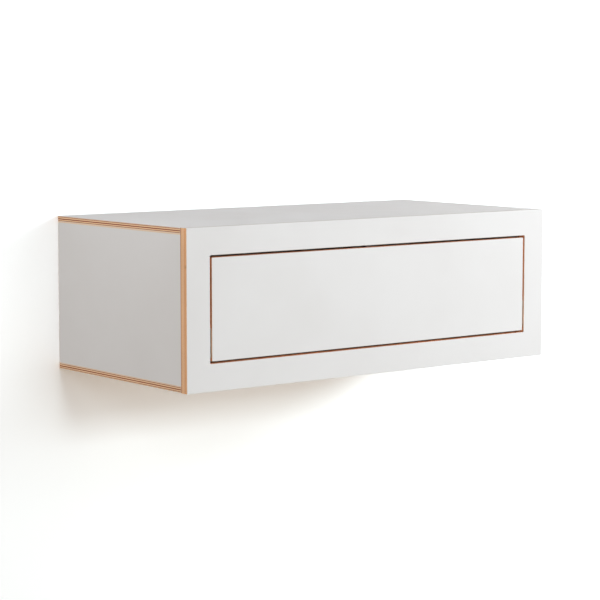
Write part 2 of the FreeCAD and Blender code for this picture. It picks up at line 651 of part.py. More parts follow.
def make_dowels():
    """Dowels, placed at the joint with their shorter end in the face of a board."""
    dowel = new_body("dowel_master")
    radius, bevel = "Size.dowel / 2", "Size.dowel_chamfer"
    low, high = "-Size.dowel_in_face", "Size.dowel_in_edge"
    lower_end = [("0", low), (f"{radius} - {bevel}", low), (radius, f"{low} + {bevel}")]
    upper_end = [(radius, f"{high} - {bevel}"), (f"{radius} - {bevel}", high), ("0", high)]
    turn(dowel, "XZ", lower_end + upper_end, "V_Axis")
    corners = [(f"{side} * At.board_middle", f"At.panel_middle + {y}") for side in PAIR for y in deep_y]
    levels = (("At.inner_top", (0, 0, 1)), ("At.inner_bottom", (0, 0, -1)))
    places = [(x, y, z, face) for z, face in levels for x, y in corners]
    group_copies("case_dowels", dowel, places)
    rows = ("At.case_top - Size.case_board / 2", "At.case_bottom + Size.case_board / 2")
    spots = [(x, z) for z in rows for x in row_x]
    spots += mirrored([("At.board_middle", f"At.case_middle + {z}") for z in tall_z])
    group_copies("frame_dowels", dowel, [(x, "-At.panel_depth", z, (0, -1, 0)) for x, z in spots])
    ends = [(side, z) for side in PAIR for z in cleat_dowel_z]
    places = [(f"{side} * At.inner_half", "At.cleat_middle", z, (side, 0, 0)) for side, z in ends]
    group_copies("cleat_dowels", dowel, places)


def hexagon(across_flats):
    """The corners of a hexagon about the origin of a sketch."""
    radius = f"({across_flats}) / 2 / cos(30 deg)"
    return [(f"{radius} * cos({turn} deg)", f"{radius} * sin({turn} deg)") for turn in range(0, 360, 60)]


def make_screw(label, diameter, head, length):
    """A countersunk wood screw with its head at the origin and its tip towards -Z."""
    screw = new_body(label)
    radius, head_radius = f"{diameter} / 2", f"{head} / 2"
    tip = f"{radius} * {TIP_SLOPE} - {length}"
    neck = [("0", "0"), (head_radius, "0"), (radius, f"{radius} - {head_radius}")]
    turn(screw, "XZ", neck + [(radius, tip), ("0", f"-{length}")], "V_Axis")
    socket = new_sketch(screw, "XY")
    draw_polygon(socket, hexagon(f"{diameter} * {SOCKET_SHARE}"))
    pocket(screw, socket, f"{diameter} * {SOCKET_SHARE}")
    return screw


def make_screws():
    slim = ("Size.thin_screw", "Size.thin_screw_head")
    thick = ("Size.thick_screw", "Size.thick_screw_head")
    thin = make_screw("thin_screw_master", *slim, "Size.thin_screw_length")
    short = make_screw("short_screw_master", *thick, "Size.thick_screw_length")
    long = make_screw("long_screw_master", *thick, "Size.cleat_screw_length")
    into_wall, out_of_wall = (0, 1, 0), (0, -1, 0)
    places = [(x, "At.back_front", "At.cleat_screw_z", into_wall) for x in row_x]
    group_copies("cleat_screws", long, places)
    holes = [(side, z) for side in PAIR for z in leaf_screw_z]
    face = "(At.stile_floor - Size.leaf_thick)"
    places = [(f"{side} * {face}", "At.hinge_y", z, (side, 0, 0)) for side, z in holes]
    group_copies("hinge_frame_screws", thin, places)
    face = "(At.edge_floor + Size.leaf_thick)"
    places = [(f"{side} * {face}", "At.hinge_y", z, (-side, 0, 0)) for side, z in holes]
    group_copies("hinge_flap_screws", thin, places)
    holes = [(f"{side} * ({foot_screw_x})", z) for side in PAIR for z in stay_screw_z]
    group_copies("stay_bracket_screws", short, [(x, "At.foot_back", z, out_of_wall) for x, z in holes])
    holes = [(f"{side} * ({flap_screw_x})", z) for side in PAIR for z in flap_screw_z]
    group_copies("flap_bracket_screws", short, [(x, "At.foot_back", z, out_of_wall) for x, z in holes])
    face = "Size.latch_flange - At.panel_depth"
    group_copies("latch_screws", short, [(x, face, "At.flange_middle", out_of_wall) for x in latch_screw_x])
    group_copies("strike_screw", thin, [("0", "-At.panel_depth", "At.latch_z", out_of_wall)])


# ---------------------------------------------------------------- pivot hinges


def make_leaf(label, inner_face, pin_play, screw_face):
    """A hinge leaf: a round-ended plate that runs up from the pin."""
    leaf = new_piece(label, inner_face, "At.hinge_y", "At.hinge_z")
    outline = new_sketch(leaf, "YZ")
    draw_slot(outline, ("0", "0"), ("0", "Size.leaf_length - Size.leaf_width / 2"), "Size.leaf_width / 2")
    pad(leaf, outline, "Size.leaf_thick")
    pin_hole = f"Size.hinge_pin + 2 * {pin_play}"
    bore_at(leaf, "YZ", "0", [("0", "0")], pin_hole, "Size.leaf_thick", along=True)
    screws = [("0", f"{z} - At.hinge_z") for z in leaf_screw_z]
    bore_at(leaf, "YZ", "0", screws, thin_bore, "Size.leaf_thick", along=True)
    sink_holes(leaf, ACROSS, screw_face, thin_bore, thin_sink)
    return leaf


def make_hinges():
    stile_side = "At.stile_floor - Size.leaf_thick"
    on_frame = make_leaf("right_hinge_frame_leaf", stile_side, "Size.running_play", "0")
    on_flap = make_leaf("right_hinge_flap_leaf", "At.edge_floor", "Size.press_play", "Size.leaf_thick")
    pin = new_piece("right_hinge_pin", "At.gap_middle", "At.hinge_y", "At.hinge_z")
    reach = "(Size.hinge_washer / 2 + Size.washer_play + Size.leaf_thick + Size.pin_tail)"
    radius, bevel = "Size.hinge_pin / 2", "Size.pin_bevel"
    start = [(f"-{reach}", "0"), (f"-{reach}", f"{radius} - {bevel}"), (f"{bevel} - {reach}", radius)]
    end = [(f"{reach} - {bevel}", radius), (reach, f"{radius} - {bevel}"), (reach, "0")]
    turn(pin, "XZ", start + end)
    washer = new_piece("right_hinge_washer", "At.gap_middle", "At.hinge_y", "At.hinge_z")
    ring = new_sketch(washer, "YZ", "-Size.hinge_washer / 2")
    draw_circle(ring, ("0", "0"), "Size.hinge_washer_width")
    draw_circle(ring, ("0", "0"), "Size.hinge_pin + 2 * Size.loose_play")
    pad(washer, ring, "Size.hinge_washer")
    for piece in (on_frame, on_flap, pin, washer):
        mirror_piece(piece, piece.Label.replace("right", "left"))


# ---------------------------------------------------------------- flap stays


def make_stay_bracket():
    """An angle on the back of the front frame; its web carries the stud beside the cut-out."""
    bracket = new_piece("right_stay_bracket", "At.web_inner", "-At.panel_depth", "At.stud_z")
    foot = new_sketch(bracket, "XZ")
    half_tall = "Size.stay_foot_height / 2"
    draw_rectangle(foot, "0", "Size.stay_foot_width", f"-{half_tall}", half_tall)
    pad(bracket, foot, "Size.bracket_plate", against=True)
    stud = ("At.stud_y + At.panel_depth", "0")
    web = new_sketch(bracket, "YZ")
    draw_rectangle(web, "0", stud[0], "-Size.web_height / 2", "Size.web_height / 2")
    pad(bracket, web, "Size.bracket_plate")
    web_end = new_sketch(bracket, "YZ")
    draw_circle(web_end, stud, "Size.web_height")
    pad(bracket, web_end, "Size.bracket_plate")
    stud_hole = "Size.stud + 2 * Size.running_play"
    bore_at(bracket, "YZ", "0", [stud], stud_hole, "Size.bracket_plate", along=True)
    holes = [(f"{foot_screw_x} - At.web_inner", f"{z} - At.stud_z") for z in stay_screw_z]
    bore_at(bracket, "XZ", "-Size.bracket_plate", holes, thick_bore, "Size.bracket_plate", along=True)
    sink_holes(bracket, INWARD, "Size.bracket_plate", thick_bore, thick_sink)
    return bracket


def make_flap_bracket():
    """An angle on the inner face of the flap; its ear carries the rivet."""
    bracket = new_piece("right_flap_bracket", "At.ear_outer", "-At.panel_depth", "At.rivet_z")
    foot = new_sketch(bracket, "XZ")
    half_tall = "Size.flap_foot_height / 2"
    draw_rectangle(foot, "-Size.flap_foot_width", "0", f"-{half_tall}", half_tall)
    pad(bracket, foot, "Size.bracket_plate", against=True)
    rivet = ("Size.stay_lift", "0")
    inner_side = "-Size.bracket_plate"
    ear = new_sketch(bracket, "YZ", inner_side)
    draw_rectangle(ear, "0", rivet[0], "-Size.ear_width / 2", "Size.ear_width / 2")
    pad(bracket, ear, "Size.bracket_plate")
    ear_end = new_sketch(bracket, "YZ", inner_side)
    draw_circle(ear_end, rivet, "Size.ear_width")
    pad(bracket, ear_end, "Size.bracket_plate")
    rivet_hole = "Size.stud + 2 * Size.press_play"
    bore_at(bracket, "YZ", inner_side, [rivet], rivet_hole, "Size.bracket_plate", along=True)
    holes = [(f"{flap_screw_x} - At.ear_outer", f"{z} - At.rivet_z") for z in flap_screw_z]
    bore_at(bracket, "XZ", "-Size.bracket_plate", holes, thick_bore, "Size.bracket_plate", along=True)
    sink_holes(bracket, INWARD, "Size.bracket_plate", thick_bore, thick_sink)
    return bracket


def make_stay_arm():
    """The slotted arm: it turns on the rivet and slides along the stud."""
    arm = new_piece("right_stay_arm", "At.arm_inner", "At.rivet_y", "At.rivet_z")
    arm.Placement = Placement(Vector(), Rotation(ACROSS, value_of("At.arm_lean")))
    arm.setExpression("Placement.Rotation.Angle", "At.arm_lean")
    for axis, text in zip("xyz", ("At.arm_inner", "At.rivet_y", "At.rivet_z")):
        arm.setExpression(f"Placement.Base.{axis}", text)
    outline = new_sketch(arm, "YZ")
    draw_slot(outline, ("0", "0"), ("At.open_reach + Size.arm_tip", "0"), "Size.arm_width / 2")
    slot_start = "At.closed_reach - 2 * Size.press_travel"
    draw_slot(outline, (slot_start, "0"), ("At.open_reach", "0"), "At.slot_radius")
    draw_circle(outline, ("0", "0"), "Size.stud + 2 * Size.running_play")
    pad(arm, outline, "Size.arm_thick")
    return arm


def make_stud():
    stud = new_piece("right_stay_stud", "At.washer_inner", "At.stud_y", "At.stud_z")
    end = "At.web_outer - At.washer_inner + Size.nut_height + Size.stud_past_nut"
    radius, head_radius, bevel = "Size.stud / 2", "Size.stud_head_width / 2", "Size.pin_bevel"
    head = [("-Size.stud_head", "0"), ("-Size.stud_head", f"{head_radius} - {bevel}")]
    head += [(f"{bevel} - Size.stud_head", head_radius), ("0", head_radius)]
    shank = [("0", radius), (f"{end} - {bevel}", radius), (end, f"{radius} - {bevel}"), (end, "0")]
    turn(stud, "XZ", head + shank)
    socket = new_sketch(stud, "YZ", "-Size.stud_head")
    draw_polygon(socket, hexagon(f"Size.stud * {SOCKET_SHARE}"))
    pocket(stud, socket, f"Size.stud_head * {SOCKET_SHARE}", along=True)
    return stud


def make_rivet():
    start = "At.arm_inner - Size.washer_play"
    rivet = new_piece("right_stay_rivet", start, "At.rivet_y", "At.rivet_z")
    grip = "(At.ear_outer - At.arm_inner + Size.washer_play)"
    radius, head_radius, high = "Size.stud / 2", "Size.rivet_head_width / 2", "Size.rivet_head"
    crown = f"{head_radius} - {high}"
    inner = [(f"-{high}", "0"), (f"-{high}", crown), ("0", head_radius), ("0", radius)]
    outer = [(grip, radius), (grip, head_radius), (f"{grip} + {high}", crown), (f"{grip} + {high}", "0")]
    turn(rivet, "XZ", inner + outer)
    return rivet


def make_tube(label, start, length, outer, inner):
    """A short tube along +X about the stud."""
    tube = new_piece(label, start, "At.stud_y", "At.stud_z")
    ring = new_sketch(tube, "YZ")
    draw_circle(ring, ("0", "0"), outer)
    draw_circle(ring, ("0", "0"), inner)
    pad(tube, ring, length)
    return tube


def make_lock_nut():
    nut = new_piece("right_stay_lock_nut", "At.web_outer", "At.stud_y", "At.stud_z")
    outline = new_sketch(nut, "YZ")
    draw_polygon(outline, hexagon("Size.nut_across"))
    draw_circle(outline, ("0", "0"), "Size.stud + 2 * Size.press_play")
    pad(nut, outline, "Size.nut_height")
    return nut


def make_washer_master(label, thickness):
    """A friction washer from the origin towards -Z."""
    washer = new_body(label)
    ring = new_sketch(washer, "XY")
    draw_circle(ring, ("0", "0"), "Size.nylon_washer_width")
    draw_circle(ring, ("0", "0"), "Size.stud + 2 * Size.running_play")
    pad(washer, ring, thickness, against=True)
    return washer


def make_stays():
    long = "At.web_inner - At.washer_outer"
    inner = "Size.stud + 2 * Size.running_play"
    spacer = make_tube("right_stay_spacer", "At.washer_outer", long, "Size.spacer_width", inner)
    pieces = [make_stay_bracket(), make_flap_bracket(), make_stay_arm(), make_stud(), make_rivet()]
    for piece in pieces + [spacer, make_lock_nut()]:
        mirror_piece(piece, piece.Label.replace("right", "left"))
    washer = make_washer_master("washer_master", "Size.nylon_washer")
    starts = ("At.washer_inner", "(At.arm_outer + Size.washer_play)")
    places = [(f"{side} * {x}", "At.stud_y", "At.stud_z", (side, 0, 0)) for side in PAIR for x in starts]
    group_copies("stay_washers", washer, places)
    thin = make_washer_master("thin_washer_master", "Size.nylon_washer / 2")
    places = [(f"{side} * {starts[1]}", "At.rivet_y", "At.rivet_z", (side, 0, 0)) for side in PAIR]
    group_copies("rivet_washers", thin, places)


# ---------------------------------------------------------------- push latch


def make_latch_housing():
    housing = new_piece("latch_housing", "0", "At.latch_front", "At.latch_z")
    block = new_sketch(housing, "XZ")
    half_wide, half_tall = "Size.latch_width / 2", "Size.latch_height / 2"
    draw_rectangle(block, f"-{half_wide}", half_wide, f"-{half_tall}", half_tall)
    pad(housing, block, "Size.latch_length", against=True)
    dress_edges(
        housing, "Fillet", lambda edge: runs_along(edge, INWARD), "Radius", "Size.latch_round"
    )
    rib = new_sketch(housing, "XZ")
    top = "At.flange_top - At.latch_z"
    draw_rectangle(rib, "-Size.latch_rib_width / 2", "Size.latch_rib_width / 2", "0", top)
    pad(housing, rib, "Size.latch_rib", against=True)
    flange_face = "Size.press_travel + Size.buffer"
    flange = new_sketch(housing, "XZ", flange_face)
    half_flange = "Size.latch_flange_width / 2"
    draw_rectangle(flange, f"-{half_flange}", half_flange, "At.flange_bottom - At.latch_z", top)
    pad(housing, flange, "Size.latch_flange", against=True)
    bore = "Size.plunger + 2 * Size.latch_play"
    bore_at(housing, "XZ", "0", [("0", "0")], bore, "Size.latch_length - Size.latch_wall")
    holes = [(x, "At.flange_middle - At.latch_z") for x in latch_screw_x]
    rear = "Size.latch_flange - Size.press_travel - Size.buffer"
    bore_at(housing, "XZ", f"-({rear})", holes, thick_bore, "Size.latch_flange", along=True)
    sink_holes(housing, INWARD, rear, thick_bore, thick_sink)


def make_latch_inside():
    """Plunger, magnet, spring and buffer, all about the latch axis."""
    plunger = new_piece("latch_plunger", "0", "At.plunger_front", "At.latch_z")
    radius, end = "Size.plunger / 2", "At.plunger_length"
    cup, cup_floor = "Size.magnet / 2 + Size.press_play", "Size.magnet_thick - Size.magnet_proud"
    seat, seat_floor = "Size.spring_width / 2 + Size.loose_play", "At.plunger_length - Size.spring_seat"
    front = [(cup_floor, "0"), (cup_floor, cup), ("0", cup), ("0", radius)]
    rear = [(end, radius), (end, seat), (seat_floor, seat), (seat_floor, "0")]
    turn(plunger, "YZ", front + rear)
    magnet = new_piece("latch_magnet", "0", "At.magnet_front", "At.latch_z")
    wide, long = "Size.magnet / 2", "Size.magnet_thick"
    turn(magnet, "YZ", [("0", "0"), ("0", wide), (long, wide), (long, "0")])
    buffer = new_piece("latch_buffer", "0", "At.latch_front", "At.latch_z")
    pad_outline = new_sketch(buffer, "XZ")
    half_wide, half_tall = "Size.latch_width / 2", "Size.latch_height / 2"
    draw_rectangle(pad_outline, f"-{half_wide}", half_wide, f"-{half_tall}", half_tall)
    draw_circle(pad_outline, ("0", "0"), "Size.plunger + 2 * Size.loose_play")
    pad(buffer, pad_outline, "Size.buffer")
    make_spring()


def make_spring():
    """A coil from the plunger's seat to the rear wall of the housing."""
    wire = "Size.spring_wire / 2"
    spare = "Size.press_play"
    start = f"At.plunger_rear - Size.spring_seat + {wire} + {spare}"
    coil_radius = "Size.spring_width / 2 - Size.spring_wire / 2"
    coil = doc.addObject("Part::Helix", "spring_coil")
    coil.setExpression("Pitch", "Size.spring_pitch")
    coil.setExpression("Radius", coil_radius)
    coil.setExpression("Height", f"At.bore_floor - {wire} - {spare} - ({start})")
    section = doc.addObject("Part::Circle", "spring_section")
    section.setExpression("Radius", wire)
    section.Placement = Placement(Vector(), Rotation(ACROSS, 90))
    section.setExpression("Placement.Base.x", coil_radius)
    spring = doc.addObject("Part::Sweep", "latch_spring")
    spring.Label = "latch_spring"
    spring.Sections = [section]
    spring.Spine = (coil, [])
    spring.Solid = True
    spring.Frenet = True
    spring.Placement = Placement(Vector(), Rotation(UP, INWARD))
    spring.setExpression("Placement.Base.y", start)
    spring.setExpression("Placement.Base.z", "At.latch_z")
    nodes.append(spring)


def make_strike():
    strike = new_piece("strike_plate", "0", "-At.panel_depth", "At.latch_z")
    disc = new_sketch(strike, "XZ")
    draw_circle(disc, ("0", "0"), "Size.strike")
    draw_circle(disc, ("0", "0"), thin_bore)
    pad(strike, disc, "Size.strike_thick")
    sink_holes(strike, INWARD, "0", thin_bore, thin_sink)


# ---------------------------------------------------------------- the whole desk


def check_document():
    """Raises if any object failed, or if a piece has no sound solid."""
    for item in doc.Objects:
        if "Invalid" in item.State or "Error" in item.State:
            raise ValueError(f"{item.Label} failed: {item.State}")
    for node in nodes:
        if node.Shape.isNull() or not node.Shape.isValid() or not node.Shape.Solids:
            raise ValueError(f"{node.Label} has no sound solid")


make_top_and_bottom()
make_sides()
make_back()
make_front_frame()
make_flap()
make_cleats()
make_dowels()
make_screws()
make_hinges()
make_stays()
make_latch_housing()
make_latch_inside()
make_strike()
doc.recompute()
check_document()

os.makedirs("parts", exist_ok=True)
for node in nodes:
    node.Shape.exportStep(f"parts/{node.Label}.step")
print(len(nodes), "pieces written")
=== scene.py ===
import math

import bpy
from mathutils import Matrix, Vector


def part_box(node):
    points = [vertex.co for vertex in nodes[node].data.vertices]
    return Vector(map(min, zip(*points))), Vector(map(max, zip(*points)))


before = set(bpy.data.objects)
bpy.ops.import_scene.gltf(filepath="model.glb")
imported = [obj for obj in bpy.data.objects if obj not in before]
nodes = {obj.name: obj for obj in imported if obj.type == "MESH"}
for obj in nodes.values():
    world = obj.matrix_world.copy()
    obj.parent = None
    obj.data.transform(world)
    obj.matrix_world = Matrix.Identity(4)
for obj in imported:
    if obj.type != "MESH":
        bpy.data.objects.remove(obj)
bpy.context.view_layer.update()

# A wall desk with a drop flap: white-faced plywood case, flap hinges, lid stays and a push latch.
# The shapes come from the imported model. This script gives every piece its finish and sets up the picture.

mm = 0.001
axes = {"x": 0, "y": 1, "z": 2}
noiseSwing = (0.3, 0.7)  # most of a noise's values lie between these


def rgb(red, green, blue):
    # a colour as a screen shows it, 0 to 255, turned into the linear values that Blender mixes
    def linear(value):
        part = value / 255
        return part / 12.92 if part <= 0.04045 else ((part + 0.055) / 1.055) ** 2.4
    return (linear(red), linear(green), linear(blue), 1.0)


# small helpers for the shader trees

def newMaterial(name):
    material = bpy.data.materials.new(name)
    material.use_nodes = True
    return material, material.node_tree, material.node_tree.nodes["Principled BSDF"]


def addNode(tree, kind, inputs=None, **settings):
    # settings first, because some of them change which inputs the node has
    node = tree.nodes.new("ShaderNode" + kind)
    for key, value in settings.items():
        setattr(node, key, value)
    for key, value in (inputs or {}).items():
        feed(tree, node.inputs[key], value)
    return node


def feed(tree, socket, value):
    if isinstance(value, bpy.types.NodeSocket):
        tree.links.new(value, socket)
    else:
        socket.default_value = value


def calc(tree, operation, *values):
    return addNode(tree, "Math", dict(enumerate(values)), operation=operation).outputs[0]


def mixColour(tree, factor, first, second, blend="MIX"):
    # the Mix node has a pair of sockets for every kind of value: 6 and 7 are the colours
    node = addNode(tree, "Mix", {0: factor, 6: first, 7: second}, data_type="RGBA", blend_type=blend)
    return node.outputs[2]


def mixValue(tree, factor, first, second):
    return addNode(tree, "Mix", {0: factor, 2: first, 3: second}).outputs[0]


def spread(tree, value, fromLow, fromHigh, toLow, toHigh):
    inputs = {"Value": value, "From Min": fromLow, "From Max": fromHigh, "To Min": toLow, "To Max": toHigh}
    return addNode(tree, "MapRange", inputs).outputs[0]


def vary(tree, value, low, high):
    # a noise spread over low to high
    return spread(tree, value, noiseSwing[0], noiseSwing[1], low, high)


def rise(tree, value, start, full, most=1.0):
    # nothing up to start, then more and more, and the most from full on
    return spread(tree, value, start, full, 0.0, most)


def noise(tree, place, repeats, detail=2.0, roughness=0.5):
    # repeats: how often the noise changes in a metre, one number or one each for x, y and z
    if isinstance(repeats, float):
        repeats = (repeats, repeats, repeats)
    scaled = addNode(tree, "Mapping", {"Vector": place, "Scale": repeats})
    inputs = {"Vector": scaled.outputs[0], "Scale": 1.0, "Detail": detail, "Roughness": roughness}
    return addNode(tree, "TexNoise", inputs).outputs[0]


def grained(tree, place, axis, lengthwise, across, detail=2.0, roughness=0.5):
    # a noise that changes at one rate along the axis and at another along the other two
    repeats = [lengthwise if index == axes[axis] else across for index in range(3)]
    return noise(tree, place, repeats, detail, roughness)


def bump(tree, height, strength, distance, below=None):
    inputs = {"Height": height, "Strength": strength, "Distance": distance}
    if below is not None:
        inputs["Normal"] = below
    return addNode(tree, "Bump", inputs).outputs[0]


def objectPlace(tree):
    # a point's place in the desk's own frame, which stays with the piece when it swings
    return addNode(tree, "TexCoord").outputs["Object"]


def split(tree, place):
    return addNode(tree, "SeparateXYZ", {0: place}).outputs


def finish(node, material):
    mesh = nodes[node].data
    mesh.materials.clear()
    mesh.materials.append(material)


# In the dictionaries below a texture is given by its repeats per metre, and then by its detail and
# roughness where they aren't the usual ones. A grained one has two repeats, along its axis and across.

# plywood boards: white film on the faces, bare plies on the edges

board = {
    "faces": rgb(240, 239, 238),
    "faceGrey": rgb(233, 231, 229),       # the film where it is rubbed or handled
    "faceRoughness": 0.54,
    "faceShine": (-0.04, 0.05),           # how far that changes over the clouds
    "clouds": (7.0, 3.0),                 # cloudy wear on the film
    "rubbed": (0.35, 0.75, 0.5),          # where in the clouds the grey starts, is full, and its most
    "ior": 1.45,
    "pebble": 0.7 * mm,                   # size of the film's fine pebble
    "pebbleBump": (0.12, 0.02 * mm),      # strength and height, as in the other bumps
    "film": 0.3 * mm,
    "blur": 0.12 * mm,                    # how sharply one ply ends and the next begins
    "waver": 0.12 * mm,                   # how far a ply wanders in depth along a board
    "wander": (30.0, 14.0),               # grained through the sheet, as the next two are
    "grain": (1700.0, 26.0, 3.0, 0.6),
    "pores": (1500.0, 900.0, 1.0),
    "patches": 9.0,
    "grainTone": (0.95, 1.08),
    "patchTone": 0.05,
    "poreTone": (0.62, 0.75, 0.16),       # start, full and most, as in rubbed
    "edgeRoughness": 0.62,
    "edgeBump": 0.12 * mm,
    "bandGrey": rgb(228, 225, 221),       # white band on the frame's upper and lower edges
    "knotAt": (-400.0 * mm, -386.0 * mm, 27.0 * mm),
    "knotSize": (4.0 * mm, 1.6 * mm, 4.2 * mm),
    "knotBrown": rgb(150, 104, 58),
    "knotFade": (0.35, 1.0, 0.6, 0.0),    # from this share of its size to that it goes from brown to none
}
# the veneers between the two films, each with its share of the thickness
caseLayup = (("outer", 1.1), ("dark", 1.05), ("pale", 1.9), ("core", 1.7), ("pale", 1.65), ("dark", 1.05),
             ("outer", 2.95))             # from the outside of the case inwards
floorLayup = (("outer", 1.75), ("dark", 1.1), ("pale", 1.75), ("core", 1.7), ("pale", 1.9), ("dark", 1.1),
              ("outer", 2.2))             # the same sheet, sanded a little differently
backLayup = (("outer", 1.0), ("dark", 1.1), ("pale", 2.9), ("dark", 1.1), ("outer", 1.0))
# its last dark ply is drawn wider than a real one, so that it is partly painted shade: the shade in the
# joint where the front frame meets the case. The flap's edges share it.
frontLayup = (("outer", 1.05), ("ruddy", 2.3), ("dark", 0.5), ("ruddy", 2.4), ("dark", 0.7), ("honey", 2.6),
              ("dark", 0.4), ("honey", 2.9), ("dark", 0.5), ("honey", 2.3), ("dark", 1.5), ("outer", 0.25))
veneers = {
    "outer": rgb(246, 222, 196),
    "pale": rgb(255, 222, 178),
    "honey": rgb(255, 208, 160),
    "ruddy": rgb(252, 190, 138),
    "dark": rgb(172, 84, 42),
    "core": rgb(156, 48, 16),
}


def plyRamp(tree, depth, thick, film, layup):
    # the sheet's veneers from one face to the other, as one colour ramp over its thickness
    node = addNode(tree, "ValToRGB", {0: calc(tree, "DIVIDE", depth, thick)})
    stops = node.color_ramp.elements
    colours = [veneers[kind] for kind, share in layup]
    shares = [share for kind, share in layup]
    scale = (thick - 2 * film) / sum(shares)
    level = film
    stops[0].position = 0.0
    stops[0].color = colours[0]
    stops[1].position = 1.0
    stops[1].color = colours[-1]
    for share, colour, nextColour in zip(shares, colours, colours[1:]):
        level += share * scale
        stops.new((level - board["blur"] / 2) / thick).color = colour
        stops.new((level + board["blur"] / 2) / thick).color = nextColour
    return node.outputs[0]


def sheetDepth(tree, node, axis, fromHigh):
    # where a point is, its depth below one face of the sheet, and the sheet's thickness, in metres
    low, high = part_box(node)
    low, high = low[axes[axis]], high[axes[axis]]
    place = objectPlace(tree)
    level = split(tree, place)[axes[axis]]
    depth = calc(tree, "SUBTRACT", high, level) if fromHigh else calc(tree, "SUBTRACT", level, low)
    return place, depth, high - low


def nearFaces(tree, depth, thick, skin):
    # one in the skin at either face of a sheet, nothing between them
    fromMiddle = calc(tree, "ABSOLUTE", calc(tree, "SUBTRACT", depth, thick / 2))
    start = thick / 2 - skin
    return rise(tree, fromMiddle, start - board["blur"], start + board["blur"])


def plyEdge(tree, place, depth, thick, axis, layup, film):
    # colour and bump height of the bare edge of a sheet
    wander = grained(tree, place, axis, *board["wander"])
    wandered = calc(tree, "ADD", depth, spread(tree, wander, 0.0, 1.0, -board["waver"], board["waver"]))
    plies = plyRamp(tree, wandered, thick, film, layup)
    grain = grained(tree, place, axis, *board["grain"])
    pores = grained(tree, place, axis, *board["pores"])
    patches = noise(tree, place, board["patches"])
    streaks = vary(tree, grain, *board["grainTone"])
    tone = calc(tree, "ADD", streaks, vary(tree, patches, -board["patchTone"], board["patchTone"]))
    speck = rise(tree, pores, *board["poreTone"])
    shaded = calc(tree, "SUBTRACT", tone, speck)
    grey = addNode(tree, "CombineColor", {0: shaded, 1: shaded, 2: shaded}).outputs[0]
    colour = mixColour(tree, 1.0, plies, grey, "MULTIPLY")
    return colour, calc(tree, "SUBTRACT", grain, speck)


def knot(tree, place, colour):
    # one small sound knot in the edge of the front frame
    shifted = addNode(tree, "VectorMath", {0: place, 1: board["knotAt"]}, operation="SUBTRACT").outputs[0]
    scaled = addNode(tree, "VectorMath", {0: shifted, 1: board["knotSize"]}, operation="DIVIDE").outputs[0]
    away = addNode(tree, "VectorMath", {0: scaled}, operation="LENGTH").outputs["Value"]
    return mixColour(tree, spread(tree, away, *board["knotFade"]), colour, board["knotBrown"])


def longEdges(tree, node, place):
    # one on the upper and lower edge of an upright sheet
    low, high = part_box(node)
    height = split(tree, place)["Z"]
    fromCentre = calc(tree, "ABSOLUTE", calc(tree, "SUBTRACT", height, (low[2] + high[2]) / 2))
    return calc(tree, "GREATER_THAN", fromCentre, (high[2] - low[2]) / 2 - board["blur"])


def facedSheet(node, axis, layup, fromHigh=False, banded=False):
    # white film over both faces, plies on everything that is cut
    material, tree, shader = newMaterial("faced_ply_" + node)
    place, depth, thick = sheetDepth(tree, node, axis, fromHigh)
    edgeColour, edgeHeight = plyEdge(tree, place, depth, thick, axis, layup, board["film"])
    if banded:
        # the long outer edges carry a white band, the short ones stay bare
        edgeColour = knot(tree, place, edgeColour)
        edgeColour = mixColour(tree, longEdges(tree, node, place), edgeColour, board["bandGrey"])
    film = nearFaces(tree, depth, thick, board["film"])
    clouds = noise(tree, place, *board["clouds"])
    pebble = noise(tree, place, 1 / board["pebble"])
    filmColour = mixColour(tree, rise(tree, clouds, *board["rubbed"]), board["faces"], board["faceGrey"])
    feed(tree, shader.inputs["Base Color"], mixColour(tree, film, edgeColour, filmColour))
    filmRough = vary(tree, clouds, *[board["faceRoughness"] + change for change in board["faceShine"]])
    feed(tree, shader.inputs["Roughness"], mixValue(tree, film, board["edgeRoughness"], filmRough))
    edgeBump = bump(tree, edgeHeight, calc(tree, "SUBTRACT", 1.0, film), board["edgeBump"])
    feed(tree, shader.inputs["Normal"], bump(tree, pebble, *board["pebbleBump"], edgeBump))
    shader.inputs["IOR"].default_value = board["ior"]
    finish(node, material)


cleatVeneer = {
    "pale": rgb(225, 200, 164),
    "brown": rgb(203, 171, 130),
    "pore": rgb(168, 118, 78),
    "depth": 1.4 * mm,
    "figure": (3.0, 60.0, 5.0, 0.65),     # a birch face, grained along the strip
    "pores": (60.0, 1600.0),
    "poreShare": (0.6, 0.75, 0.25),       # start, full and most
    "roughness": 0.58,
    "bump": (0.5, 0.1 * mm),
}


def bareSheet(node):
    # a strip of birch plywood: veneer on its faces, plies on its edges
    material, tree, shader = newMaterial("birch_ply_" + node)
    place, depth, thick = sheetDepth(tree, node, "y", False)
    edgeColour, edgeHeight = plyEdge(tree, place, depth, thick, "y", caseLayup, 0.0)
    onFace = nearFaces(tree, depth, thick, cleatVeneer["depth"])
    figure = grained(tree, place, "x", *cleatVeneer["figure"])
    pores = grained(tree, place, "x", *cleatVeneer["pores"])
    veneer = mixColour(tree, vary(tree, figure, 0.0, 1.0), cleatVeneer["pale"], cleatVeneer["brown"])
    veneer = mixColour(tree, rise(tree, pores, *cleatVeneer["poreShare"]), veneer, cleatVeneer["pore"])
    feed(tree, shader.inputs["Base Color"], mixColour(tree, onFace, edgeColour, veneer))
    shader.inputs["Roughness"].default_value = cleatVeneer["roughness"]
    height = mixValue(tree, onFace, edgeHeight, pores)
    feed(tree, shader.inputs["Normal"], bump(tree, height, *cleatVeneer["bump"]))
    finish(node, material)


facedSheet("top_panel", "z", caseLayup, fromHigh=True)
facedSheet("bottom_panel", "z", floorLayup)
facedSheet("left_side_panel", "x", caseLayup)
facedSheet("right_side_panel", "x", caseLayup, fromHigh=True)
facedSheet("back_panel", "y", backLayup)
facedSheet("front_frame", "y", frontLayup, banded=True)
facedSheet("flap", "y", frontLayup)
for node in ("cabinet_cleat", "wall_cleat"):
    bareSheet(node)
print("boards finished")


# dowels

